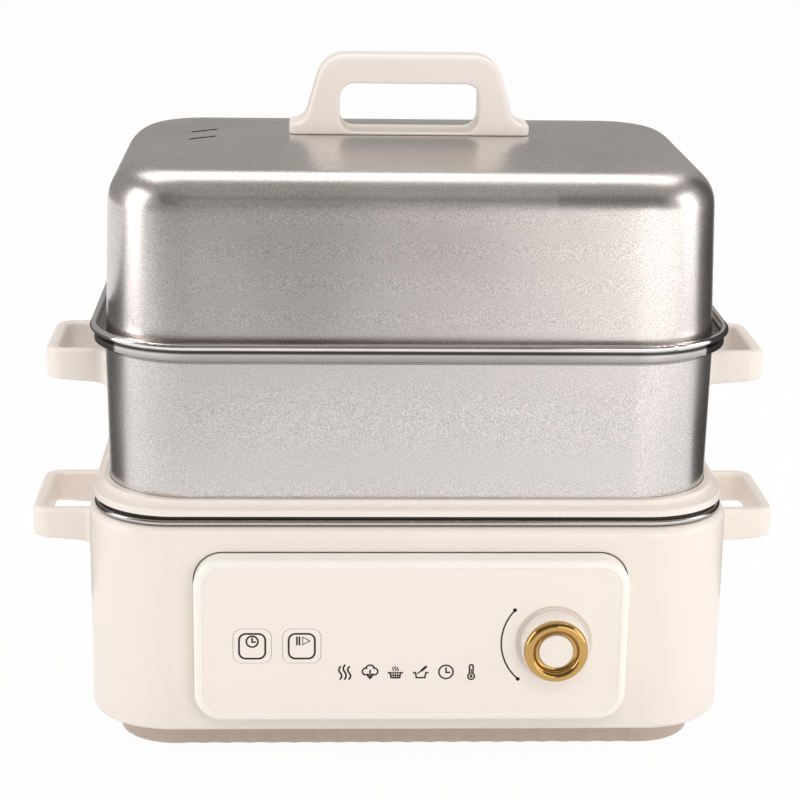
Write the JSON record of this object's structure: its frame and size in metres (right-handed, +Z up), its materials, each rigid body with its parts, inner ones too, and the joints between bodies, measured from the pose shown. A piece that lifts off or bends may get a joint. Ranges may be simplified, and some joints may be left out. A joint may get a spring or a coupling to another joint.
{
  "type": "electric food steamer",
  "caption": "Countertop electric food steamer: cream base with knob panel, lift-out pot, steel steaming basket and domed lid with loop handles.",
  "frame": {"origin": "middle of the bounding box seen from above, on the table plane under the feet", "axes": "+X to the right seen from the front, +Y to the back, +Z up"},
  "size_m": [0.4116, 0.2618, 0.358],
  "materials": {
    "cream_plastic": "satin moulded",
    "cream_gloss": "polished",
    "greige_plastic": "matte moulded",
    "satin_steel": "fine sandblasted",
    "pot_steel": "satin with a polished rim",
    "gold_ring": "polished",
    "black_rubber": "matte",
    "shield_steel": "mill",
    "cast_aluminium": "turned casting",
    "element_steel": "heat tinted",
    "probe_aluminium": "polished",
    "zinc_steel": "zinc plated",
    "stainless_fasteners": "polished",
    "black_plastic": "matte",
    "board_green": "solder mask",
    "led_white": "clear epoxy",
    "pin_brass": "bright",
    "relay_blue": "moulded",
    "transformer_yellow": "tape",
    "wire_grey": "silicone"
  },
  "bodies": {
    "root": {"outer_housing": "cream_plastic", "base_handle_left": "cream_plastic", "base_handle_right": "cream_plastic", "panel_frame": "cream_plastic", "panel_plate": "cream_gloss", "bottom_cover": "greige_plastic", "rubber_feet": "black_rubber", "heat_shield": "shield_steel", "probe_guide": "shield_steel", "heating_plate": "cast_aluminium", "heating_element": "element_steel", "shield_posts": "zinc_steel", "plate_posts": "zinc_steel", "plate_nuts": "zinc_steel", "probe_spring": "zinc_steel", "cover_screws": "zinc_steel", "base_handle_screws": "zinc_steel", "control_board_screws": "zinc_steel", "power_board_screws": "zinc_steel", "inlet_screws": "zinc_steel", "thermal_fuse": "stainless_fasteners", "power_inlet": "black_plastic", "thermostat": "black_plastic", "tact_switches": "black_plastic", "control_chip": "black_plastic", "rotary_encoder": "black_plastic", "control_board": "board_green", "power_board": "board_green", "indicator_leds": "led_white", "inlet_pins": "pin_brass", "power_relay": "relay_blue", "power_transformer": "transformer_yellow", "filter_capacitor": "transformer_yellow", "mains_leads": "wire_grey", "heater_leads": "wire_grey", "control_harness": "wire_grey"},
    "probe": {"temperature_probe": "probe_aluminium"},
    "knob": {"knob_body": "cream_plastic", "knob_ring": "gold_ring", "knob_cap": "cream_gloss", "encoder_shaft": "zinc_steel"},
    "reserve_key": {"reserve_button": "cream_gloss"},
    "start_key": {"start_button": "cream_gloss"},
    "pot": {"inner_pot": "pot_steel"},
    "adapter": {"adapter_ring": "cream_plastic", "ring_seal": "black_rubber"},
    "basket": {"basket_shell": "satin_steel", "basket_handle_left": "cream_plastic", "basket_handle_right": "cream_plastic", "basket_handle_screws": "stainless_fasteners"},
    "lid": {"lid_shell": "satin_steel", "lid_handle": "cream_plastic", "lid_handle_screws": "stainless_fasteners", "lid_handle_washers": "stainless_fasteners"}
  },
  "joints": [
    {"name": "pot_lift", "type": "slide", "parent": "root", "child": "pot", "axis": [0, 0, 1], "range_m": [0, 0.1]},
    {"name": "ring_lift", "type": "slide", "parent": "pot", "child": "adapter", "axis": [0, 0, 1], "range_m": [0, 0.04]},
    {"name": "basket_lift", "type": "slide", "parent": "adapter", "child": "basket", "axis": [0, 0, 1], "range_m": [0, 0.05]},
    {"name": "lid_lift", "type": "slide", "parent": "basket", "child": "lid", "axis": [0, 0, 1], "range_m": [0, 0.12]},
    {"name": "knob_spin", "type": "hinge", "parent": "root", "child": "knob", "pos_m": [0.0738, -0.1148, 0.0698], "axis": [0, 1, 0], "continuous": true},
    {"name": "reserve_press", "type": "slide", "parent": "root", "child": "reserve_key", "axis": [0, 1, 0], "range_m": [0, 0.0005], "stiffness_N_per_m": 1500, "springref_m": -0.0008},
    {"name": "start_press", "type": "slide", "parent": "root", "child": "start_key", "axis": [0, 1, 0], "range_m": [0, 0.0005], "stiffness_N_per_m": 1500, "springref_m": -0.0008},
    {"name": "probe_press", "type": "slide", "parent": "root", "child": "probe", "axis": [0, 0, -1], "range_m": [0, 0.0015], "stiffness_N_per_m": 400, "springref_m": -0.004, "deforming": ["probe_spring"]}
  ]
}
